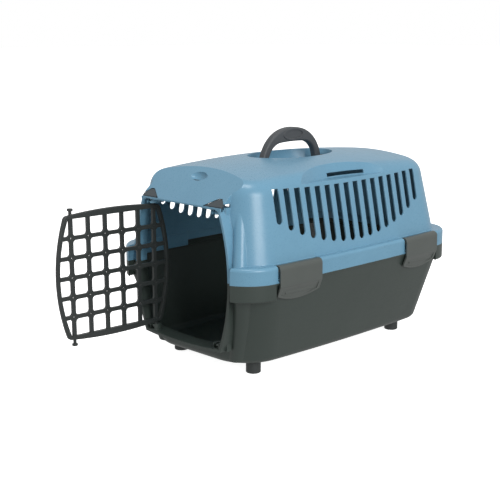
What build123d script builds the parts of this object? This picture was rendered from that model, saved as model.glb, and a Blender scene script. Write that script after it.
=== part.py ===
from build123d import *
import os
from math import atan, atan2, cos, degrees, radians, sin, sqrt, tan

# A hard plastic pet carrier: a domed upper shell and a tub-shaped lower shell
# held together by four side clips, a barrel-sided grille door on headed pins,
# a folding arch handle in a roof recess and a lock bar over the door pins.
# X is the width, Y the length (the door is at -Y) and Z is up.
# The origin is on the floor, midway between the four feet.

# Shells
wall = 2.5
parting_height = 148.0
floor_height = 20.0
roof_height = 303.0
roof_radius_across = 475.0
roof_radius_along = 2000.0
roof_edge_radius = 28.0

# Rim where the shells meet
rim_half_width = 154.5
rim_half_length = 240.0
rim_corner_radius = 57.0
rim_band = 24.0
rim_edge_radius = 5.0
side_bow = 7.0
rim_front_end = 112.0
post_half_width = 118.0
pad_start = 184.0
tongue_height = 6.0
tongue_thickness = 2.0
tongue_gap = 0.4

# Upper shell body at the parting line
upper_half_width = 147.5
upper_front = 228.0
upper_rear = 229.0
upper_corner_radius = 57.0
upper_side_lean = 0.20
upper_end_lean = 0.15
upper_corner_shrink = 0.07
body_bow = 8.0

# Lower shell body at its floor and at the parting line
lower_floor_half_width = 115.5
lower_floor_front = 207.0
lower_floor_rear = 208.0
lower_floor_corner = 44.0
lower_floor_front_corner = 64.0
lower_top_front = 228.0
lower_top_rear = 232.0
lower_top_corner = 57.0
lower_edge_radius = 13.0

# Columns at the two front corners
upper_column_radius = 10.5
lower_column_radius = 14.0
column_turn = 59.0
column_shift = 3.0
column_bulge = 8.0
column_foot_bulge = 3.0
column_top = 240.0

# Recess between the door frame and each column
recess_side = 78.0
recess_end = 106.0
recess_back = 213.0

# Door, drawn shut
door_axis_x = 71.2
door_axis_y = -219.3
door_open_angle = 93.0
door_mid_height = 148.0
door_half_height = 89.0
door_corner_half_width = 81.5
door_side_bow = 15.5
door_top_crown = 5.0
door_bottom_crown = 5.0
door_corner_radius = 7.0
door_depth = 6.0
door_side_bar = 4.8
door_end_bar = 4.5
grille_bar = 5.8
grille_depth = 4.0
grille_pitch = 28.5
grille_columns = 6
grille_rows = 5
grille_fillet = 4.6
grille_hole_radius = 1.6

# Headed door pins and their sockets
pin_radius = 2.4
pin_head_radius = 4.2
pin_head_height = 3.2
socket_clearance = 0.08
socket_plate = 2.8
socket_play = 0.6
socket_radius = 9.0
socket_mouth = 1.3

# Door opening and its frame
opening_gap = 2.5
opening_top = 246.0
opening_crown = 2.0
sill_top = 48.0
sill_thickness = 4.0
sill_sag = 4.0
sill_depth = 27.0
frame_front = 229.0
frame_thickness = 4.0

# Visor over the door
visor_slope = 0.854
visor_lip_thickness = 4.0
visor_half_width = 86.0
scoop_tip_x = 48.0
scoop_peak_x = 77.0
scoop_peak_width = 7.0
scoop_peak_height = 261.0
scoop_outer_height = 255.0
dish_half_length = 20.0
dish_radius = 9.0
dish_lift = 3.0
dish_centre_y = -190.0
lip_wall = 2.1

# Lock bar behind the visor
lock_clearance = 0.5
lock_hook_width = 9.0
lock_hook_thickness = 1.4
lock_hook_gap = 0.3
lock_hook_lift = 2.0
lock_wing_inner = 54.0
lock_wing_gap = 0.3
lock_wing_inset = 0.4
lock_wing_thickness = 2.0
lock_notch_rear = -220.8
lock_bar_radius = 1.3
lock_root = (73.5, -218.0, 257.6)
lock_knee = (73.5, -212.0, 259.3)
lock_bend = (14.0, -189.0, 267.0)
lock_tab_half = 9.0
lock_tab_thickness = 2.4
lock_tab_y = -193.0
lock_tab_sink = 2.6
lock_shield_half = 19.0
lock_shield_low = 261.0
lock_shield_high = 270.5

# Side vents
vent_count = 16
vent_pitch = 20.6
vent_width = 11.4
vent_top = 268.0
vent_top_radius = 2600.0
vent_low = 183.0
vent_arc_radius = 313.0

# Belt scallops and slots near the roof edge
scallop_floor = 274.0
scallop_face_x = 110.0
scallop_radius = 225.0
scallop_centre_y = -10.0
scallop_lean = 0.32
belt_slot_front = -24.0
belt_slot_length = 75.0
belt_slot_height = 5.5
belt_cross_y = -12.0
belt_cross_width = 9.0
belt_cross_height = 30.0
belt_cross_depth = 12.0

# Handle and its roof recess
recess_half_length = 82.0
recess_half_width = 49.0
recess_floor = 272.0
recess_draft = 9.0
handle_axis_height = 287.0
handle_half_span = 60.5
handle_leg = 13.0
handle_outer_shoulder = (24.0, 338.5)
handle_outer_knee = (65.5, 295.0)
handle_inner_shoulder = (26.0, 319.0)
handle_inner_knee = (50.5, 300.0)
handle_top = 342.0
handle_grip_height = 22.0
handle_grip_width = 15.0
handle_leg_width = 9.5
handle_edge_radius = 3.0
handle_eye_radius = 6.5
handle_panel_length = 40.0
handle_panel_height = 14.0
handle_panel_depth = 0.6
handle_panel_rim = 2.4
handle_panel_rise = 0.8
journal_radius = 3.0
journal_clearance = 0.05
bearing_width = 13.0
bearing_depth = 7.0
bearing_gap = 1.0

# Side clips, measured outward from the rim where they sit
clip_centre = 139.0
clip_width = 82.0
clip_gap = 1.0
clip_stand_off = 4.0
clip_thickness = 2.6
clip_axis_depth = 3.3
clip_axis_height = 165.5
clip_barrel_radius = 3.0
clip_stub_radius = 2.0
clip_stub_length = 3.0
clip_stub_clearance = 0.06
clip_crease_height = 143.0
clip_bottom = 120.0
clip_bottom_inset = 5.5
clip_dish_radius = 40.0
clip_dish_depth = 1.2
clip_lip = 3.0
clip_dish_margin = 5.0
clip_bottom_arc = 8.0
clip_rib = 3.0
clip_rib_pitch = 24.0
clip_cheek = 3.5
clip_swing_gap = 0.6
clip_catch_height = 134.0
clip_catch_gap = 0.3
clip_catch_half = 30.0
clip_hook_half = 27.0

# Feet
foot_x = 80.5
foot_y = 161.0
foot_radius = 11.0
foot_stem_radius = 4.5
foot_stem_clearance = 0.05

big = 1000.0


def slab(x0, x1, y0, y1, z0, z1):
    """Box between two corners."""
    box = Box(x1 - x0, y1 - y0, z1 - z0)
    return Pos((x0 + x1) / 2, (y0 + y1) / 2, (z0 + z1) / 2) * box


def outline(height, half_width, front, rear, front_radius, rear_radius, bow):
    """Level face with bowed long sides and four rounded corners."""
    side = half_width - bow
    with BuildSketch(Plane.XY.offset(height)) as sketch:
        with BuildLine():
            Line((-side, -front), (side, -front))
            ThreePointArc((side, -front), (half_width, 0), (side, rear))
            Line((side, rear), (-side, rear))
            ThreePointArc((-side, rear), (-half_width, 0), (-side, -front))
        make_face()
        fillet([v for v in sketch.vertices() if v.Y < 0], front_radius)
        fillet([v for v in sketch.vertices() if v.Y > rear - 1], rear_radius)
    return sketch.sketch.face()


def rim_block(z0, z1, inset=0.0):
    """Solid of the rim's outline between two heights."""
    face = outline(
        z0,
        rim_half_width - inset,
        rim_half_length - inset,
        rim_half_length - inset,
        rim_corner_radius - inset,
        rim_corner_radius - inset,
        side_bow,
    )
    return extrude(face, z1 - z0)


def upper_outline(height, inset):
    """Outline of the upper shell's body at one height."""
    rise = height - parting_height
    shrink = upper_corner_shrink * rise
    return outline(
        height,
        upper_half_width - upper_side_lean * rise - inset,
        upper_front - upper_end_lean * rise - inset,
        upper_rear - upper_end_lean * rise - inset,
        upper_corner_radius - shrink - inset,
        upper_corner_radius - shrink - inset,
        body_bow,
    )


def roof_solid(inset):
    """Everything below the crowned roof surface."""
    crest = roof_height - inset
    reach = rim_half_length + 30
    drop = roof_radius_along - sqrt(roof_radius_along**2 - reach**2)
    centre = crest - roof_radius_across
    with BuildSketch(Plane.YZ) as sketch:
        with BuildLine():
            ThreePointArc((-reach, crest - drop), (0, crest), (reach, crest - drop))
            Line((reach, crest - drop), (reach, centre + 1))
            Line((reach, centre + 1), (-reach, centre + 1))
            Line((-reach, centre + 1), (-reach, crest - drop))
        make_face()
    axis = Axis((0, 0, centre), (0, 1, 0))
    turned = revolve(sketch.sketch.face(), axis, revolution_arc=70)
    return turned.rotate(axis, -35)


def upper_body(inset, start):
    """Domed body of the upper shell, pulled in by inset, from a start height."""
    low = upper_outline(start, inset)
    high = upper_outline(roof_height + 30, inset)
    body = (loft([low, high], ruled=True) & roof_solid(inset)).solids()[0]
    edges = [e for e in body.edges() if e.center().Z > roof_height - 45]
    return fillet(edges, roof_edge_radius - inset)


def lower_share(height, at_floor, at_parting):
    """Value between the lower shell's floor and the parting line."""
    share = (height - floor_height) / (parting_height - floor_height)
    return at_floor + (at_parting - at_floor) * share


def lower_outline(height, inset):
    """Outline of the lower shell's body at one height."""
    return outline(
        height,
        lower_share(height, lower_floor_half_width, rim_half_width - 0.5) - inset,
        lower_share(height, lower_floor_front, lower_top_front) - inset,
        lower_share(height, lower_floor_rear, lower_top_rear) - inset,
        lower_share(height, lower_floor_front_corner, lower_top_corner) - inset,
        lower_share(height, lower_floor_corner, lower_top_corner) - inset,
        side_bow,
    )


def lower_body(inset, top):
    """Tub-shaped body of the lower shell, pulled in by inset."""
    floor = floor_height + inset
    body = loft([lower_outline(floor, inset), lower_outline(top, inset)], ruled=True)
    edges = [e for e in body.edges() if e.center().Z < floor + 0.1]
    return fillet(edges, lower_edge_radius - inset)


def door_outline(grow=0.0):
    """Barrel-sided outline of the door, drawn shut in the XZ plane."""
    half = door_corner_half_width + grow
    mid = half + door_side_bow
    top = door_mid_height + door_half_height + grow
    low = door_mid_height - door_half_height - grow
    with BuildSketch(Plane.XZ) as sketch:
        with BuildLine():
            ThreePointArc((-half, low), (0, low - door_bottom_crown), (half, low))
            ThreePointArc((half, low), (mid, door_mid_height), (half, top))
            ThreePointArc((half, top), (0, top + door_top_crown), (-half, top))
            ThreePointArc((-half, top), (-mid, door_mid_height), (-half, low))
        make_face()
        fillet(sketch.vertices(), door_corner_radius + grow)
    return sketch.sketch.face()


def edge_across(x, height, lift):
    """Edge from x to -x at one height, lifted by an arc at its middle."""
    if lift == 0:
        return Line((x, height), (-x, height))
    return ThreePointArc((x, height), (0, height + lift), (-x, height))


def opening_outline(grow, low, top, low_lift=0.0, top_lift=0.0):
    """Barrel-sided opening for the door between two heights."""
    half = door_corner_half_width + opening_gap
    mid = half + door_side_bow
    rise = door_half_height
    radius = (rise**2 + door_side_bow**2) / (2 * door_side_bow) + grow
    centre = mid + grow - radius

    def side(height):
        return centre + sqrt(radius**2 - (height - door_mid_height) ** 2)

    half_way = (low + top) / 2
    with BuildSketch(Plane.XZ) as sketch:
        with BuildLine():
            edge_across(side(low), low, low_lift)
            ThreePointArc(
                (side(low), low), (side(half_way), half_way), (side(top), top)
            )
            edge_across(side(top), top, top_lift)
            ThreePointArc(
                (-side(top), top), (-side(half_way), half_way), (-side(low), low)
            )
        make_face()
    return sketch.sketch.face()


def through_front(face, y0, y1):
    """Extrude an XZ face so that it spans y0 to y1."""
    return Pos(0, y0, 0) * extrude(face, -(y1 - y0))


def both(shape):
    """The shape and its mirror image across the middle of the carrier."""
    return shape + mirror(shape, Plane.YZ)


def front_recess(z0, z1, grow=0.0):
    """Room between the door frame and the two front columns."""
    return both(slab(recess_side, recess_end + grow, -300, grow - recess_back, z0, z1))


def column(z0, z1, radius, low_bulge, high_bulge):
    """Rounded column on the +X front corner, from z0 up to z1."""
    turn = radians(column_turn)

    def centre(height, bulge):
        if height >= parting_height:
            rise = height - parting_height
            corner = upper_corner_radius - upper_corner_shrink * rise
            half = upper_half_width - upper_side_lean * rise - body_bow
            front = upper_front - upper_end_lean * rise
        else:
            corner = lower_share(height, lower_floor_front_corner, lower_top_corner)
            half = lower_share(height, lower_floor_half_width, rim_half_width - 0.5)
            half = half - side_bow
            front = lower_share(height, lower_floor_front, lower_top_front)
        off = corner + bulge - radius
        return Vector(
            half - corner + column_shift + off * cos(turn),
            -front + corner - off * sin(turn),
            height,
        )

    low = centre(z0, low_bulge)
    high = centre(z1, high_bulge)
    length = (high - low).length
    frame = Plane(origin=low, z_dir=high - low)
    rod = frame * (Pos(0, 0, length / 2) * Cylinder(radius, length))
    return rod + Pos(*high) * Sphere(radius)


def visor_under(inset):
    """Space below the visor's sloping face."""
    top = opening_top + visor_lip_thickness - inset * sqrt(1 + visor_slope**2)
    y0 = -frame_front
    reach = 3 * rim_half_length
    with BuildSketch(Plane.YZ) as sketch:
        with BuildLine():
            Polyline(
                (y0 - 60, top - 60 * visor_slope),
                (y0 + reach, top + reach * visor_slope),
                (y0 + reach, 0),
                (y0 - 60, 0),
                (y0 - 60, top - 60 * visor_slope),
            )
        make_face()
    return Pos(-big / 2, 0, 0) * extrude(sketch.sketch.face(), big)


def scallop(inset):
    """Cutter for the belt scallop on the +X side; inset leaves the wall."""
    lean = degrees(atan(scallop_lean))
    rod = Rot(0, -lean, 0) * Cylinder(scallop_radius + inset, 300)
    place = Pos(scallop_face_x + scallop_radius, scallop_centre_y, scallop_floor)
    room = slab(0, 200, -150, 150, scallop_floor - inset, roof_height + 20)
    return place * rod & room


def visor_plane():
    """Frame on the visor's face at the finger dish, its Z pointing outward."""
    height = visor_height(dish_centre_y)
    return Plane(
        origin=(0, dish_centre_y, height),
        x_dir=(1, 0, 0),
        z_dir=(0, -visor_slope, 1),
    )


def finger_dish(grow):
    """Pointed oval of revolution that sinks the finger dish in the visor."""
    half = dish_half_length + 1.5 * grow
    with BuildSketch(Plane.XY) as sketch:
        with BuildLine():
            ThreePointArc((-half, 0), (0, dish_radius + grow), (half, 0))
            Line((half, 0), (-half, 0))
        make_face()
    oval = revolve(sketch.sketch.face(), Axis.X)
    return visor_plane() * (Pos(0, 0, dish_lift) * oval)


def vents():
    """All the side vents, as cutters through both long walls."""
    cutters = []
    for i in range(vent_count):
        y = (i - (vent_count - 1) / 2) * vent_pitch
        low = vent_low + vent_arc_radius - sqrt(vent_arc_radius**2 - y**2)
        r = vent_width / 2
        top = vent_top + vent_top_radius - sqrt(vent_top_radius**2 - y**2)
        block = slab(60, 200, y - r, y + r, low + r, top)
        end = Pos(130, y, low + r) * Rot(0, 90, 0) * Cylinder(r, 140)
        cutters.append(block + end)
    return both(Compound(children=cutters))


def recess(inset):
    """Oval handle recess; a negative inset gives the pan around it."""
    floor = recess_floor + (0 if inset >= 0 else inset)
    top = roof_height + 5
    height = top - floor
    grow = height * tan(radians(recess_draft))
    base = recess_draft_half(floor)
    with BuildSketch(Plane.XY.offset(floor)) as low:
        Ellipse(base[0] - inset, base[1] - inset)
    with BuildSketch(Plane.XY.offset(top)) as high:
        Ellipse(base[0] - inset + grow, base[1] - inset + grow)
    return loft([low.sketch.face(), high.sketch.face()], ruled=True)


def recess_draft_half(height):
    """Half axes of the recess (across, along) at one height."""
    shrink = (roof_height - height) * tan(radians(recess_draft))
    return recess_half_width - shrink, recess_half_length - shrink


def socket_slot(low, high, radius, mouth):
    """Slot open to the front around the +X door pin axis."""
    front = -frame_front - 12
    with BuildSketch(Plane.XY.offset(low)) as sketch:
        with Locations((door_axis_x, door_axis_y)):
            Circle(radius)
        with BuildLine():
            Polyline(
                (door_axis_x - radius, door_axis_y),
                (door_axis_x - radius - mouth, front),
                (door_axis_x + radius + mouth, front),
                (door_axis_x + radius, door_axis_y),
                (door_axis_x - radius, door_axis_y),
            )
        make_face()
    return extrude(sketch.sketch, high - low)


# Heights of the door pins and their sockets
def door_top_at(x):
    half = door_corner_half_width
    rise = door_top_crown
    radius = (half**2 + rise**2) / (2 * rise)
    top = door_mid_height + door_half_height
    return top + rise - radius + sqrt(radius**2 - x**2)


def door_bottom_at(x):
    return 2 * door_mid_height - door_top_at(x)


top_pin_root = door_top_at(door_axis_x)
plate_low = top_pin_root + 2.4
plate_high = plate_low + socket_plate
head_low = plate_high + socket_play
head_high = head_low + pin_head_height
ledge_low = head_high + socket_play
bottom_pin_root = door_bottom_at(door_axis_x)
bottom_plate_high = bottom_pin_root - 2.4
bottom_plate_low = bottom_plate_high - socket_plate
bottom_head_high = bottom_plate_low - socket_play
bottom_head_low = bottom_head_high - pin_head_height
bottom_pocket = bottom_head_low - socket_play

# Clip places: one clip per side at each end
clip_places = [(1, -1), (1, 1), (-1, -1), (-1, 1)]
clip_names = ["clip_front_right", "clip_rear_right", "clip_front_left", "clip_rear_left"]
clip_rim_x = rim_half_width - side_bow * (clip_centre / rim_half_length) ** 2
clip_turn = degrees(2 * side_bow * clip_centre / rim_half_length**2)
clip_round = clip_stand_off + clip_axis_depth
pocket_depth = clip_axis_depth + clip_round + clip_swing_gap


def at_clip(shape, side, end):
    """Place a shape drawn for a clip on the +X rim at one of the four clips."""
    placed = Pos(clip_rim_x, end * clip_centre, 0) * Rot(0, 0, end * clip_turn) * shape
    return placed if side > 0 else mirror(placed, Plane.YZ)


def at_clips(shape):
    """The shape at all four clips."""
    placed = [at_clip(shape, side, end) for side, end in clip_places]
    return placed[0] + placed[1] + placed[2] + placed[3]


def clip_rod(radius, length):
    """Round bar along a clip's hinge axis."""
    bar = Pos(-clip_axis_depth, 0, clip_axis_height) * Rot(90, 0, 0)
    return bar * Cylinder(radius, length)


def make_clip():
    """Clip in the shut position, drawn from the rim face outward."""
    t = clip_thickness
    face = clip_stand_off
    drop = clip_crease_height - clip_bottom
    slope = atan2(face + clip_bottom_inset, drop)
    half = clip_width / 2
    with BuildSketch(Plane.XZ) as sketch:
        with BuildLine():
            Polyline(
                (face, clip_axis_height),
                (face, clip_crease_height),
                (-clip_bottom_inset, clip_bottom),
                (-clip_bottom_inset - t * cos(slope), clip_bottom + t * sin(slope)),
                (face - t, clip_crease_height + t * tan(slope / 2)),
                (face - t, clip_axis_height),
                (face, clip_axis_height),
            )
        make_face()
    skin = extrude(sketch.sketch.face(), half, both=True)
    roll = clip_rod(clip_round, clip_width) - clip_rod(clip_round - t, clip_width + 2)
    over = slab(
        -clip_axis_depth - clip_round / 3,
        face + 1,
        -half,
        half,
        clip_axis_height,
        clip_axis_height + clip_round + 1,
    )
    body = skin + (roll & over)
    radius = (half**2 + clip_bottom_arc**2) / (2 * clip_bottom_arc)
    trim = Pos(0, 0, clip_bottom + radius) * Rot(0, 90, 0) * Cylinder(radius, 60)
    keep = slab(-50, 50, -half - 1, half + 1, clip_bottom + 2 * clip_bottom_arc, 200)
    body = body & (trim + keep)
    far = clip_dish_radius - clip_dish_depth
    dish = Pos(
        (face - clip_bottom_inset) / 2 + far * cos(slope),
        0,
        (clip_crease_height + clip_bottom) / 2 - far * sin(slope),
    )
    dish = dish * Rot(90, 0, 0) * Cylinder(clip_dish_radius, clip_width - 2 * clip_dish_margin)
    inside = Pos(0, 0, clip_bottom + radius) * Rot(0, 90, 0) * Cylinder(radius - clip_lip, 60)
    body = body - (dish & inside)
    body = body + clip_rod(clip_barrel_radius, clip_width)
    for i in (-1, 0, 1):
        y = i * clip_rib_pitch
        rib = slab(
            -clip_axis_depth,
            face - t / 2,
            y - clip_rib / 2,
            y + clip_rib / 2,
            clip_axis_height,
            clip_axis_height + clip_round,
        )
        body = body + (rib & clip_rod(clip_round - t / 2, clip_width))
    stub = clip_width + 2 * (clip_gap + clip_stub_length)
    body = body + clip_rod(clip_stub_radius, stub)
    hook_top = clip_catch_height - clip_catch_gap
    inner = face - t - (clip_crease_height - hook_top) * tan(slope)
    hook = slab(
        inner - 2.2, inner + t / 2, -clip_hook_half, clip_hook_half, hook_top - 3.5, hook_top
    )
    return body + hook


def clip_room(z0, z1, u0, u1, extra):
    """Block at each clip between two heights and two distances from the rim."""
    half = clip_width / 2 + clip_gap + extra
    return at_clips(slab(u0, u1, -half, half, z0, z1))


def make_upper_shell():
    ledge = parting_height + rim_band - wall
    crown = parting_height + rim_band
    outer = upper_body(0, parting_height)
    inner = upper_body(wall, parting_height - 1)
    outer = outer - front_recess(parting_height - 5, opening_top)
    inner = inner - front_recess(parting_height - 5, opening_top, wall)
    hollow_low = inner
    below = slab(-200, 200, -260, 260, parting_height - 5, ledge)
    front_room = slab(-post_half_width, post_half_width, -270, -190, 100, ledge + 1)
    hollow_high = inner - below

    # Visor block between the columns, under the sloping face
    visor = slab(
        -visor_half_width, visor_half_width, -frame_front, -200, opening_top, 290
    )
    outer = (outer + visor) & visor_under(0)
    hollow = slab(
        -visor_half_width + wall,
        visor_half_width - wall,
        -frame_front + wall,
        -190,
        opening_top + visor_lip_thickness,
        290,
    )
    inner = (inner + hollow) & visor_under(wall)

    # Recess pan and scallops keep their wall inside
    inner = inner - recess(-wall) - both(scallop(wall)) - finger_dish(wall)
    outer = outer - recess(0) - both(scallop(0)) - finger_dish(0)
    shell = outer - inner - (below - front_room)

    # Rim band around the parting line, open at the door
    band = rim_block(parting_height, crown)
    top_edges = [e for e in band.edges() if e.center().Z > crown - 0.1]
    band = fillet(top_edges, rim_edge_radius)
    band_full = band
    band = band - rim_block(parting_height - 1, ledge, wall) - hollow_high
    gap = slab(-rim_front_end, rim_front_end, -260, -150, 100, 200)
    band = band - gap
    ends = band_full & slab(rim_front_end, rim_front_end + wall, -260, -190, 0, 200)
    ends = ends - hollow_low

    # Clip pockets: a floor, a back wall and two cheeks each
    pocket_floor = parting_height + wall
    pocket = clip_room(pocket_floor, crown + 1, -pocket_depth, 10, 0)
    box = clip_room(parting_height, crown, -pocket_depth - wall, 10, clip_cheek)
    pockets = (box & band_full) - pocket - hollow_high
    band = band - pocket
    shell = shell - pocket + band + both(ends) + pockets

    # Front corner columns above the rim
    rod = column(crown - 4, column_top, upper_column_radius, column_bulge, 0.0)
    shell = shell + (both(rod) - hollow_low)
    shell = shell - rim_block(0, parting_height)

    # Door frame, opening, sockets
    frame = through_front(
        opening_outline(
            frame_thickness, parting_height, opening_top + 1, top_lift=opening_crown
        ),
        -frame_front,
        -205,
    )
    ring = frame - slab(-200, 200, -260, 0, 0, parting_height)
    shell = shell + (ring - hollow_low)
    opening = through_front(
        opening_outline(0, parting_height - 1, opening_top, top_lift=opening_crown),
        -260,
        -150,
    )
    shell = shell - opening
    boss = Pos(door_axis_x, door_axis_y, (plate_low + ledge_low + 2) / 2)
    boss = boss * Cylinder(socket_radius, ledge_low + 2 - plate_low)
    rear = -205.0
    link = slab(
        door_axis_x - socket_radius,
        door_axis_x + 16,
        door_axis_y,
        rear,
        plate_low,
        ledge_low + 2,
    )
    post = (boss + link) & slab(-200, 200, -frame_front, 0, 0, 400)
    shell = shell + both(post)
    neck = socket_slot(
        plate_low - 1, plate_high + 0.01, pin_radius + socket_clearance, socket_mouth
    )
    head = socket_slot(
        plate_high, ledge_low, pin_head_radius + 0.5, socket_mouth
    )
    shell = shell - both(neck + head)

    # Scoops above the sockets, with room for the lock's wings to travel in
    scoop = through_front(scoop_face(0, parting_height), -260, -206)
    scoop = scoop & slab(0, 200, -260, 0, opening_top + visor_lip_thickness, 400)
    notch = slab(
        lock_wing_inner - lock_clearance,
        visor_half_width,
        lip_wall - frame_front,
        door_axis_y - pin_head_radius,
        opening_top - 1,
        270,
    )
    notch += slab(
        lock_wing_inner - lock_clearance,
        visor_half_width,
        lip_wall - frame_front,
        lock_notch_rear,
        ledge_low - 0.5,
        270,
    )
    front = through_front(scoop_face(0, parting_height), lip_wall - frame_front, -206)
    shell = shell - both(scoop + (notch & (visor_under(wall) + front)))

    # Slot for the lock's tab in the finger dish
    half = lock_tab_thickness / 2 + 2 * lock_clearance
    side = lock_tab_half + 2 * lock_clearance
    shell = shell - slab(
        -side, side, lock_tab_y - half, lock_tab_y + half, lock_shield_low, roof_height
    )

    # Vents and belt slots
    shell = shell - vents()
    belt = slab(
        60,
        scallop_face_x + 20,
        belt_slot_front,
        belt_slot_front + belt_slot_length,
        scallop_floor + 1,
        scallop_floor + 1 + belt_slot_height,
    )
    cross = slab(
        60,
        scallop_face_x + 20,
        belt_cross_y - belt_cross_width / 2,
        belt_cross_y + belt_cross_width / 2,
        scallop_floor + 1,
        scallop_floor + belt_cross_height,
    )
    cross = cross & slab(scallop_face_x - belt_cross_depth, 200, -100, 100, 0, 400)
    belt = belt & slab(88, 200, -100, 100, 0, 400)
    shell = shell - both(belt + cross)

    # Clip stub holes
    length = clip_width + 2 * (clip_gap + clip_stub_length) + 0.6
    return shell - at_clips(clip_rod(clip_stub_radius + clip_stub_clearance, length))


def visor_height(y):
    """Height of the visor's outer face at one Y."""
    return opening_top + visor_lip_thickness + (y + frame_front) * visor_slope


def scoop_face(gap, low):
    """Face of a lock scoop seen from the front; gap leaves room round the wing."""
    tip = scoop_tip_x + gap
    outer = visor_half_width - gap / 2
    lip = opening_top + visor_lip_thickness - gap
    with BuildSketch(Plane.XZ) as sketch:
        with BuildLine():
            Polyline(
                (tip, low),
                (tip, lip),
                (scoop_peak_x - scoop_peak_width, scoop_peak_height - gap),
                (scoop_peak_x, scoop_peak_height - gap),
                (outer, scoop_outer_height - gap),
                (outer, low),
                (tip, low),
            )
        make_face()
    return sketch.sketch.face()


def catch_face():
    """Outer face of the catch bars, just inside the clips' skin."""
    slope = (clip_stand_off + clip_bottom_inset) / (clip_crease_height - clip_bottom)
    skin = clip_stand_off - clip_thickness
    return skin - slope * (clip_crease_height - clip_catch_height) - 0.5


def make_lower_shell():
    outer = lower_body(0, parting_height)
    inner = lower_body(wall, parting_height + 1)
    outer = outer - front_recess(0, parting_height + 5)
    inner = inner - front_recess(0, parting_height + 5, wall)
    rods = both(
        column(
            floor_height - 5,
            parting_height - 8,
            lower_column_radius,
            column_foot_bulge,
            column_bulge,
        )
    )
    rods = rods & slab(-200, 200, -260, 0, floor_height + 4, parting_height - 4)
    shell = outer + rods - inner

    # Rim shelf and corner pads
    shelf = rim_block(parting_height - wall, parting_height)
    pad = rim_block(parting_height - rim_band, parting_height)
    low_edges = [e for e in pad.edges() if e.center().Z < parting_height - rim_band + 0.1]
    pad = fillet(low_edges, 2.0)
    pad = pad - rim_block(0, parting_height + 1, wall)
    ends = rim_block(parting_height - rim_band + 1, parting_height)
    ends = ends & slab(rim_front_end, rim_front_end + wall, -260, -190, 0, 200)
    side = slab(-200, 200, -pad_start, pad_start, 0, 200)
    closers = rim_block(parting_height - rim_band + 1, parting_height)
    stops = slab(0, 200, pad_start, pad_start + wall, 0, 200)
    stops += slab(0, 200, -pad_start - wall, -pad_start, 0, 200)
    rims = shelf + (pad - side) + both(ends) + both(closers & stops)
    gap = slab(-rim_front_end, rim_front_end, -260, -150, 0, 200)
    shell = shell + (rims - gap - inner)

    # Locating tongue inside the upper rim
    lip = wall + tongue_gap
    tongue = rim_block(parting_height, parting_height + tongue_height, lip)
    tongue = tongue - rim_block(0, 400, lip + tongue_thickness)
    under = rim_block(parting_height - wall, parting_height, lip)
    under = under - rim_block(0, 400, lip + tongue_thickness + wall)
    front_gap = slab(-rim_front_end - 8, rim_front_end + 8, -260, -150, 0, 200)
    room = clip_room(parting_height, 400, -2 * pocket_depth, 10, clip_cheek + 1)
    shell = shell + (under - front_gap) + (tongue - front_gap - room)

    # Catches for the clips
    half = clip_catch_half
    bar = slab(-12, catch_face(), -half, half, clip_catch_height, parting_height - 2)
    shell = shell + (at_clips(bar) - inner)

    # Door frame, sill and sockets
    frame = through_front(
        opening_outline(
            frame_thickness, sill_top - sill_thickness, parting_height, low_lift=-sill_sag
        ),
        -frame_front,
        sill_depth - frame_front,
    )
    sill = frame & slab(-200, 200, -260, 0, 0, sill_top + 1)
    shell = shell + (frame - inner) + sill
    opening = through_front(
        opening_outline(0, sill_top, parting_height + 1, low_lift=-sill_sag), -260, -150
    )
    shell = shell - opening
    boss = Pos(door_axis_x, door_axis_y, (bottom_plate_high + sill_top - 4) / 2)
    boss = boss * Cylinder(socket_radius, bottom_plate_high - sill_top + 4)
    link = slab(
        door_axis_x - 3,
        door_axis_x + 16,
        door_axis_y,
        door_axis_y + socket_radius,
        sill_top - 4,
        bottom_plate_high,
    )
    post = (boss + link) & slab(-200, 200, -frame_front, 0, 0, 400)
    shell = shell + both(post)
    neck = socket_slot(
        bottom_plate_low - 0.01,
        bottom_plate_high + 1,
        pin_radius + socket_clearance,
        socket_mouth,
    )
    head = socket_slot(
        bottom_pocket, bottom_plate_low, pin_head_radius + 0.5, socket_mouth
    )
    shell = shell - both(neck + head)

    # Foot sockets
    for sx in (-1, 1):
        for sy in (-1, 1):
            hole = Cylinder(foot_stem_radius + foot_stem_clearance, 20)
            shell = shell - Pos(sx * foot_x, sy * foot_y, floor_height) * hole
    return shell


def make_foot(x, y):
    pad = Pos(x, y, floor_height / 2) * Cylinder(foot_radius, floor_height)
    pad = chamfer(pad.edges().filter_by(GeomType.CIRCLE).sort_by(Axis.Z)[0], 1.0)
    stem = Pos(x, y, floor_height + wall / 2) * Cylinder(foot_stem_radius, wall)
    return pad + stem


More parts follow.
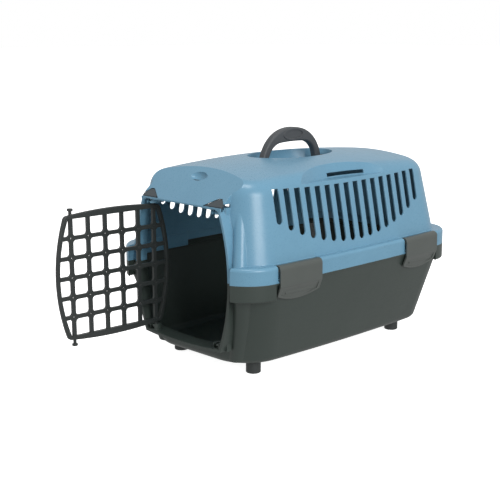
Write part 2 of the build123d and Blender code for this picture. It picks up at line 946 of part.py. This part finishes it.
def make_door():
    y0 = door_axis_y - door_depth / 2
    y1 = door_axis_y + door_depth / 2
    body = through_front(door_outline(), y0, y1)
    edges = [
        e
        for e in body.edges()
        if abs(e.center().Y - y0) < 0.01 or abs(e.center().Y - y1) < 0.01
    ]
    body = fillet(edges, 1.2)
    top = door_mid_height + door_half_height
    low = door_mid_height - door_half_height
    inside = door_outline(-door_side_bar)
    field = through_front(inside, y0 - 1, y1 + 1)
    field = field & slab(-200, 200, -400, 0, low + door_end_bar, top - door_end_bar)
    half_x = (grille_columns - 1) * grille_pitch / 2
    half_z = (grille_rows - 1) * grille_pitch / 2
    bars = None
    for i in range(grille_columns):
        x = i * grille_pitch - half_x
        bar = slab(
            x - grille_bar / 2,
            x + grille_bar / 2,
            door_axis_y - grille_depth / 2,
            door_axis_y + grille_depth / 2,
            low - 2,
            top + 2,
        )
        bars = bar if bars is None else bars + bar
    for j in range(grille_rows):
        z = j * grille_pitch - half_z + door_mid_height
        bars = bars + slab(
            -120,
            120,
            door_axis_y - grille_depth / 2,
            door_axis_y + grille_depth / 2,
            z - grille_bar / 2,
            z + grille_bar / 2,
        )
    corners = [
        e
        for e in bars.edges().filter_by(Axis.Y)
        if abs(e.center().X) < half_x + grille_bar
        and abs(e.center().Z - door_mid_height) < half_z + grille_bar
    ]
    bars = fillet(corners, grille_fillet)
    bars = bars & through_front(door_outline(-1.5), y0, y1)
    body = (body - field) + bars
    for i in range(grille_columns):
        for j in range(grille_rows):
            x = i * grille_pitch - half_x
            z = j * grille_pitch - half_z + door_mid_height
            hole = Pos(x, door_axis_y, z) * Rot(90, 0, 0)
            body = body - hole * Cylinder(grille_hole_radius, 20)
    for sx in (-1, 1):
        x = sx * door_axis_x
        neck_top = head_low
        neck = Pos(x, door_axis_y, (top_pin_root - 4 + neck_top) / 2)
        neck = neck * Cylinder(pin_radius, neck_top - top_pin_root + 4)
        cap = Pos(x, door_axis_y, (head_low + head_high) / 2)
        cap = cap * Cylinder(pin_head_radius, pin_head_height)
        cap = fillet(cap.edges().sort_by(Axis.Z)[-1], 0.8)
        body = body + neck + cap
        neck = Pos(x, door_axis_y, (bottom_pin_root + 4 + bottom_head_high) / 2)
        neck = neck * Cylinder(pin_radius, bottom_pin_root + 4 - bottom_head_high)
        cap = Pos(x, door_axis_y, (bottom_head_low + bottom_head_high) / 2)
        cap = cap * Cylinder(pin_head_radius, pin_head_height)
        cap = fillet(cap.edges().sort_by(Axis.Z)[0], 0.8)
        body = body + neck + cap
    swing = Axis((-door_axis_x, door_axis_y, 0), (0, 0, 1))
    return body.rotate(swing, -door_open_angle)


def arch_face(foot, knee, shoulder, crown):
    """Face under an arch given by its points (y, z) on the +Y side."""
    fall = crown - shoulder[1]
    radius = (shoulder[0] ** 2 + fall**2) / (2 * fall)
    slope = shoulder[0] / radius
    way = (sqrt(1 - slope**2), -slope)
    with BuildSketch(Plane.YZ) as sketch:
        with BuildLine():
            ThreePointArc((-shoulder[0], shoulder[1]), (0, crown), shoulder)
            TangentArc(shoulder, knee, tangent=way)
            Line(knee, foot)
            Line(foot, (-foot[0], foot[1]))
            Line((-foot[0], foot[1]), (-knee[0], knee[1]))
            TangentArc(
                (-shoulder[0], shoulder[1]), (-knee[0], knee[1]), tangent=(-way[0], way[1])
            )
        make_face()
    return sketch.sketch.face()


def make_handle():
    low = handle_axis_height
    outer_foot = (handle_half_span + handle_leg / 2, low)
    inner_foot = (handle_half_span - handle_leg / 2, low)
    outer = arch_face(outer_foot, handle_outer_knee, handle_outer_shoulder, handle_top)
    inner = arch_face(
        inner_foot,
        handle_inner_knee,
        handle_inner_shoulder,
        handle_top - handle_grip_height,
    )
    arch = extrude(outer, handle_grip_width, both=True)
    arch = arch - extrude(inner, handle_grip_width * 2, both=True)
    reach = outer_foot[0] + 10
    leg = handle_leg_width / 2
    grip = handle_grip_width / 2
    with BuildSketch() as plan:
        with BuildLine():
            ThreePointArc((leg, -reach), (grip, 0), (leg, reach))
            Line((leg, reach), (-leg, reach))
            ThreePointArc((-leg, reach), (-grip, 0), (-leg, -reach))
            Line((-leg, -reach), (leg, -reach))
        make_face()
    arch = arch & extrude(plan.sketch, 500)
    long_edges = [
        e for e in arch.edges() if abs(e.center().X) > 1 and e.center().Z > low + 1
    ]
    arch = fillet(long_edges, handle_edge_radius)
    for end in (-1, 1):
        eye = Pos(0, end * handle_half_span, low) * Rot(90, 0, 0)
        arch = arch + eye * Cylinder(handle_eye_radius, handle_leg)
        arch = arch - eye * Cylinder(journal_radius + journal_clearance, handle_leg + 8)
    panel_z = handle_top - handle_grip_height / 2
    for side in (-1, 1):
        with BuildSketch(Plane.YZ.offset(side * (grip - handle_panel_depth))) as oval:
            with Locations((0, panel_z)):
                Ellipse(handle_panel_length / 2, handle_panel_height / 2)
        arch = arch - extrude(oval.sketch, side * 10)
        with BuildSketch(Plane.YZ.offset(side * (grip - 2))) as rim:
            with Locations((0, panel_z)):
                Ellipse(
                    handle_panel_length / 2 + handle_panel_rim,
                    handle_panel_height / 2 + handle_panel_rim,
                )
                Ellipse(
                    handle_panel_length / 2, handle_panel_height / 2, mode=Mode.SUBTRACT
                )
        arch = arch + extrude(rim.sketch, side * (2 + handle_panel_rise))
    return arch


def make_bearing(end):
    inner = handle_half_span + handle_leg / 2 + bearing_gap
    y0 = min(end * inner, end * (inner + bearing_depth))
    half = bearing_width / 2
    block = slab(-half, half, y0, y0 + bearing_depth, recess_floor, handle_axis_height)
    crown = Pos(0, y0 + bearing_depth / 2, handle_axis_height) * Rot(90, 0, 0)
    block = block + crown * Cylinder(half, bearing_depth)
    length = handle_leg + bearing_gap
    centre = end * (inner - length / 2)
    journal = Pos(0, centre, handle_axis_height) * Rot(90, 0, 0)
    return block + journal * Cylinder(journal_radius, length)


def make_lock_bar():
    """Lock bar in its raised, open position, where the door swings freely."""
    front = lip_wall - frame_front + lock_hook_gap
    rear = front + lock_hook_thickness
    hook = slab(
        door_axis_x - lock_hook_width / 2,
        door_axis_x + lock_hook_width / 2,
        front,
        rear,
        head_high + lock_hook_lift,
        visor_height(rear) - wall,
    )
    gap = lock_wing_gap + lock_wing_inset * sqrt(1 + visor_slope**2)
    wing = through_front(scoop_face(gap, 240), front, -206)
    wing = wing & slab(lock_wing_inner, 200, -260, 0, 0, 400)
    skin = visor_under(lock_wing_inset) - visor_under(lock_wing_inset + lock_wing_thickness)
    side = (wing & skin) + hook
    side = side + tube(lock_root, lock_knee, lock_bar_radius)
    side = side + tube(lock_knee, lock_bend, lock_bar_radius)
    for point in (lock_root, lock_knee, lock_bend):
        side = side + Pos(*point) * Sphere(lock_bar_radius)
    half = lock_tab_thickness / 2
    tab = slab(
        -lock_tab_half,
        lock_tab_half,
        lock_tab_y - half,
        lock_tab_y + half,
        lock_shield_low,
        visor_height(lock_tab_y) - lock_tab_sink,
    )
    tab = fillet(tab.edges().filter_by(Axis.Y).group_by(Axis.Z)[-1], 2.5)
    shield = slab(
        -lock_shield_half,
        lock_shield_half,
        lock_bend[1] - half,
        lock_bend[1] + half,
        lock_shield_low,
        lock_shield_high,
    )
    web = slab(
        -lock_tab_half,
        lock_tab_half,
        lock_tab_y,
        lock_bend[1],
        lock_shield_low,
        lock_shield_low + 2 * half,
    )
    return both(side) + shield + tab + web


def tube(a, b, radius):
    """Round bar from point a to point b."""
    start = Vector(*a)
    way = Vector(*b) - start
    frame = Plane(origin=start, z_dir=way)
    return frame * (Pos(0, 0, way.length / 2) * Cylinder(radius, way.length))


def save(shape, name):
    solids = shape.solids()
    piece = solids[0] if len(solids) == 1 else Compound(children=list(solids))
    piece.label = name
    export_step(piece, "parts/" + name + ".step")
    box = shape.bounding_box()
    print(name, len(solids), round(shape.volume / 1000, 1), "cm3", box.min, box.max)


os.makedirs("parts", exist_ok=True)

save(make_upper_shell(), "upper_shell")
save(make_lower_shell(), "lower_shell")
save(make_door(), "door")
save(make_handle(), "handle")
save(make_bearing(-1), "handle_bearing_front")
save(make_bearing(1), "handle_bearing_rear")
save(make_lock_bar(), "lock_bar")

clip = make_clip()
for (side, end), name in zip(clip_places, clip_names):
    save(at_clip(clip, side, end), name)

for sx, sy, name in (
    (1, -1, "foot_front_right"),
    (1, 1, "foot_rear_right"),
    (-1, -1, "foot_front_left"),
    (-1, 1, "foot_rear_left"),
):
    save(make_foot(sx * foot_x, sy * foot_y), name)
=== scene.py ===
from math import radians

import bpy
from mathutils import Matrix, Vector

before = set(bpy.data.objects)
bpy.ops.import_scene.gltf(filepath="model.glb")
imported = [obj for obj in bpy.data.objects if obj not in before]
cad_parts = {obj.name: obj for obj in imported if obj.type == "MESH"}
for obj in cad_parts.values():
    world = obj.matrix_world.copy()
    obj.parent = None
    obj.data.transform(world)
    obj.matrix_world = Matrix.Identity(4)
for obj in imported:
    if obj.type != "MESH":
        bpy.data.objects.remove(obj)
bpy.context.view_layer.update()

# Camera, solved from the photograph, in metres, degrees and millimetres of film
camera_target = Vector((-0.0438, -0.0461, 0.1465))
camera_distance = 1.6493
camera_azimuth = 45.81
camera_elevation = 11.84
camera_roll = -0.23
camera_lens = 74.5
sensor_width = 36.0

# Studio
white = (1.0, 1.0, 1.0, 1.0)
floor_width = 60.0
floor_glow = 0.9
light_aim = Vector((0, 0, 0.15))
sky_from_below = 0.58
sky_from_above = 0.66
sky_in_view = 1.0

# What the plastics share
plastic_ior = 1.49
# How much paler the edges are painted: partly rubbed wear, partly a painted edge highlight
edge_wear_and_highlight = 0.5
bump_strength = 0.5


# Materials

def linear(code):
    """Linear colour from an sRGB hex value."""
    parts = [int(code[i:i + 2], 16) / 255 for i in (1, 3, 5)]
    curve = [p / 12.92 if p <= 0.04045 else ((p + 0.055) / 1.055) ** 2.4 for p in parts]
    return (*curve, 1.0)


def add_node(tree, kind, settings=None, **links):
    """Add a node; settings set its options and socket values, links join its inputs."""
    node = tree.nodes.new(kind)
    for key, value in (settings or {}).items():
        if isinstance(key, int) or key in node.inputs:
            node.inputs[key].default_value = value
        else:
            setattr(node, key, value)
    for key, source in links.items():
        place = int(key[1:]) if key[0] == "i" and key[1:].isdigit() else key
        tree.links.new(source, node.inputs[place])
    return node


def remap(tree, source, low, high, to_low, to_high):
    """Carry source from low..high over to to_low..to_high, held at both ends."""
    node = add_node(
        tree, "ShaderNodeMapRange", {1: low, 2: high, 3: to_low, 4: to_high}, i0=source
    )
    return node.outputs[0]


def noise(tree, place, scale, detail, roughness):
    """Cloudy noise at a place, about 0 to 1."""
    settings = {"Scale": scale, "Detail": detail, "Roughness": roughness}
    return add_node(tree, "ShaderNodeTexNoise", settings, Vector=place).outputs["Fac"]


def combine(tree, operation, first, second):
    """Two values joined by one sum or product."""
    node = add_node(
        tree, "ShaderNodeMath", {"operation": operation}, i0=first, i1=second
    )
    return node.outputs[0]


def new_material(name):
    """Empty node material: the material, its node tree and its output node."""
    material = bpy.data.materials.new(name)
    material.use_nodes = True
    tree = material.node_tree
    tree.nodes.clear()
    output = add_node(tree, "ShaderNodeOutputMaterial")
    return material, tree, output


def clouded_colour(tree, place, shade, colour):
    """Faint clouds between two tones, a few centimetres across."""
    tint = remap(tree, noise(tree, place, 14.0, 3.0, 0.6), 0.3, 0.7, 0.0, 1.0)
    settings = {"data_type": "RGBA", 6: linear(shade), 7: linear(colour)}
    return add_node(tree, "ShaderNodeMix", settings, i0=tint).outputs[2]


def paler_edges_wear_and_highlight(tree, place, soft_normal, wear_and_highlight):
    """How far an edge is painted paler, partly as rubbed wear and partly as a painted
    highlight along the edge. The softened normal turns away from the true one at an edge,
    and patches break the paler line up."""
    true = add_node(tree, "ShaderNodeNewGeometry").outputs["Normal"]
    align = add_node(
        tree, "ShaderNodeVectorMath", {"operation": "DOT_PRODUCT"},
        i0=soft_normal, i1=true,
    )
    edge = remap(tree, align.outputs["Value"], 0.995, 0.86, 0.0, wear_and_highlight)
    patches = remap(tree, noise(tree, place, 55.0, 4.0, 0.65), 0.36, 0.62, 0.25, 1.0)
    return combine(tree, "MULTIPLY", edge, patches)


def scuffed_sheen(tree, place, roughness):
    """Roughness with fine specks from the grain and faint scuffs, which are
    drawn out a little along the length."""
    specks = noise(tree, place, 900.0, 2.0, 0.5)
    sheen = remap(tree, specks, 0.3, 0.7, roughness - 0.05, roughness + 0.04)
    stretch = add_node(
        tree, "ShaderNodeMapping", {"Scale": (30.0, 12.0, 30.0)}, Vector=place
    )
    scuffs = noise(tree, stretch.outputs[0], 6.0, 5.0, 0.7)
    return combine(tree, "ADD", sheen, remap(tree, scuffs, 0.5, 0.7, 0.0, 0.05))


def moulded_plastic(name, colour, shade, worn_and_highlit, roughness, grain_mm, grain_depth_mm, edge_mm):
    """Injection-moulded plastic. The spark-eroded mould leaves a fine even grain, the melt
    leaves faint clouds of a second tone, handling leaves fine scuffs in the sheen, and the
    moulded edges are rounded and painted paler, partly as rubbed wear and partly as a
    painted highlight."""
    material, tree, output = new_material(name)
    place = add_node(tree, "ShaderNodeTexCoord").outputs["Object"]
    body = clouded_colour(tree, place, shade, colour)
    soft_normal = add_node(
        tree, "ShaderNodeBevel", {"samples": 6, "Radius": edge_mm / 1000}
    ).outputs[0]
    # Edges mixed toward the paler tone: rubbed wear plus a painted highlight along each edge
    painted = add_node(
        tree, "ShaderNodeMix", {"data_type": "RGBA", 7: linear(worn_and_highlit)},
        i0=paler_edges_wear_and_highlight(tree, place, soft_normal, edge_wear_and_highlight), i6=body,
    )
    bump = add_node(
        tree, "ShaderNodeBump",
        {"Strength": bump_strength, "Distance": grain_depth_mm / 1000},
        Height=noise(tree, place, 1000 / grain_mm, 4.0, 0.65), Normal=soft_normal,
    )
    shader = add_node(
        tree, "ShaderNodeBsdfPrincipled", {"IOR": plastic_ior},
        Roughness=scuffed_sheen(tree, place, roughness), Normal=bump.outputs[0],
    )
    tree.links.new(painted.outputs[2], shader.inputs["Base Color"])
    tree.links.new(shader.outputs[0], output.inputs["Surface"])
    return material


# Tone, darker cloud, paler edge (rubbed wear and painted highlight), roughness, then grain,
# grain depth and edge in mm
blue = moulded_plastic(
    "blue_polypropylene", "#6592ab", "#618da6", "#86b0c6", 0.3, 0.7, 0.015, 1.2
)
grey = moulded_plastic(
    "grey_polypropylene", "#343d39", "#313a36", "#4b5450", 0.4, 0.7, 0.02, 1.2
)
door_grey = moulded_plastic(
    "door_polypropylene", "#2c3130", "#292d2d", "#474d4c", 0.4, 0.7, 0.02, 0.7
)
handle_grey = moulded_plastic(
    "handle_polypropylene", "#45484b", "#414447", "#62666a", 0.5, 0.5, 0.05, 0.9
)
clip_grey = moulded_plastic(
    "clip_polypropylene", "#4d524f", "#494e4b", "#686e6b", 0.38, 0.7, 0.02, 0.9
)
lock_grey = moulded_plastic(
    "lock_polypropylene", "#3b4347", "#384044", "#5a646a", 0.42, 0.7, 0.02, 0.6
)
bearing_grey = moulded_plastic(
    "bearing_nylon", "#1d1e20", "#1a1b1d", "#303234", 0.4, 0.7, 0.02, 0.6
)
foot_grey = moulded_plastic(
    "foot_polypropylene", "#2f3433", "#2c3030", "#474c4b", 0.5, 0.7, 0.03, 0.8
)

corners = ("front_right", "rear_right", "front_left", "rear_left")
finishes = {
    "upper_shell": blue,
    "lower_shell": grey,
    "door": door_grey,
    "handle": handle_grey,
    "handle_bearing_front": bearing_grey,
    "handle_bearing_rear": bearing_grey,
    "lock_bar": lock_grey,
}
for corner in corners:
    finishes["clip_" + corner] = clip_grey
    finishes["foot_" + corner] = foot_grey

for name, material in finishes.items():
    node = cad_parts[name]
    node.data.materials.clear()
    node.data.materials.append(material)


# Floor and light

def floor_surface(name, code, roughness, glow):
    """Seamless white studio paper, with a glow that keeps it white under the carrier."""
    material, tree, output = new_material(name)
    shader = add_node(
        tree, "ShaderNodeBsdfPrincipled",
        {
            "Base Color": linear(code), "Roughness": roughness,
            "Emission Color": white, "Emission Strength": glow,
        },
    )
    tree.links.new(shader.outputs[0], output.inputs["Surface"])
    return material


# The floor throws no light back: what reaches the sides from below is the sky's
bpy.ops.object.select_all(action="DESELECT")
bpy.ops.mesh.primitive_plane_add(size=floor_width, location=(0, 0, 0))
floor = bpy.context.object
floor.name = "floor"
floor.data.materials.append(floor_surface("studio_paper", "#f4f4f4", 0.7, floor_glow))
floor.visible_diffuse = False
floor.visible_glossy = False


def soft_light(name, place, size, power):
    """Square white softbox that points at the carrier."""
    data = bpy.data.lights.new(name, "AREA")
    data.shape = "SQUARE"
    data.size = size
    data.energy = power
    lamp = bpy.data.objects.new(name, data)
    lamp.location = place
    lamp.rotation_euler = (light_aim - Vector(place)).to_track_quat("-Z", "Y").to_euler()
    bpy.context.scene.collection.objects.link(lamp)


soft_light("key_softbox", (2.4, -0.7, 1.2), 1.3, 41)
soft_light("top_softbox", (0.3, -0.4, 2.6), 0.8, 15)

bpy.context.scene.view_settings.view_transform = "Standard"
world = bpy.data.worlds.new("studio")
bpy.context.scene.world = world
world.use_nodes = True
sky = world.node_tree
background = sky.nodes["Background"]
background.inputs[0].default_value = white

# A little brighter from above than from below, and pure white where the camera sees it
direction = add_node(sky, "ShaderNodeTexCoord").outputs["Generated"]
height = add_node(sky, "ShaderNodeSeparateXYZ", i0=direction).outputs["Z"]
dome = remap(sky, height, -0.5, 0.3, sky_from_below, sky_from_above)
seen = add_node(sky, "ShaderNodeLightPath").outputs["Is Camera Ray"]
strength = add_node(
    sky, "ShaderNodeMapRange", {1: 0.0, 2: 1.0, 4: sky_in_view}, i0=seen, i3=dome
)
sky.links.new(strength.outputs[0], background.inputs[1])


# Camera

camera_data = bpy.data.cameras.new("camera")
camera_data.sensor_width = sensor_width
camera_data.lens = camera_lens
camera = bpy.data.objects.new("camera", camera_data)
turn = Matrix.Rotation(radians(camera_azimuth), 4, "Z")
tilt = Matrix.Rotation(radians(90 - camera_elevation), 4, "X")
roll = Matrix.Rotation(radians(camera_roll), 4, "Z")
pose = turn @ tilt @ roll
camera.matrix_world = Matrix.Translation(
    camera_target + pose.to_3x3() @ Vector((0, 0, camera_distance))
) @ pose
bpy.context.scene.collection.objects.link(camera)
bpy.context.scene.camera = camera
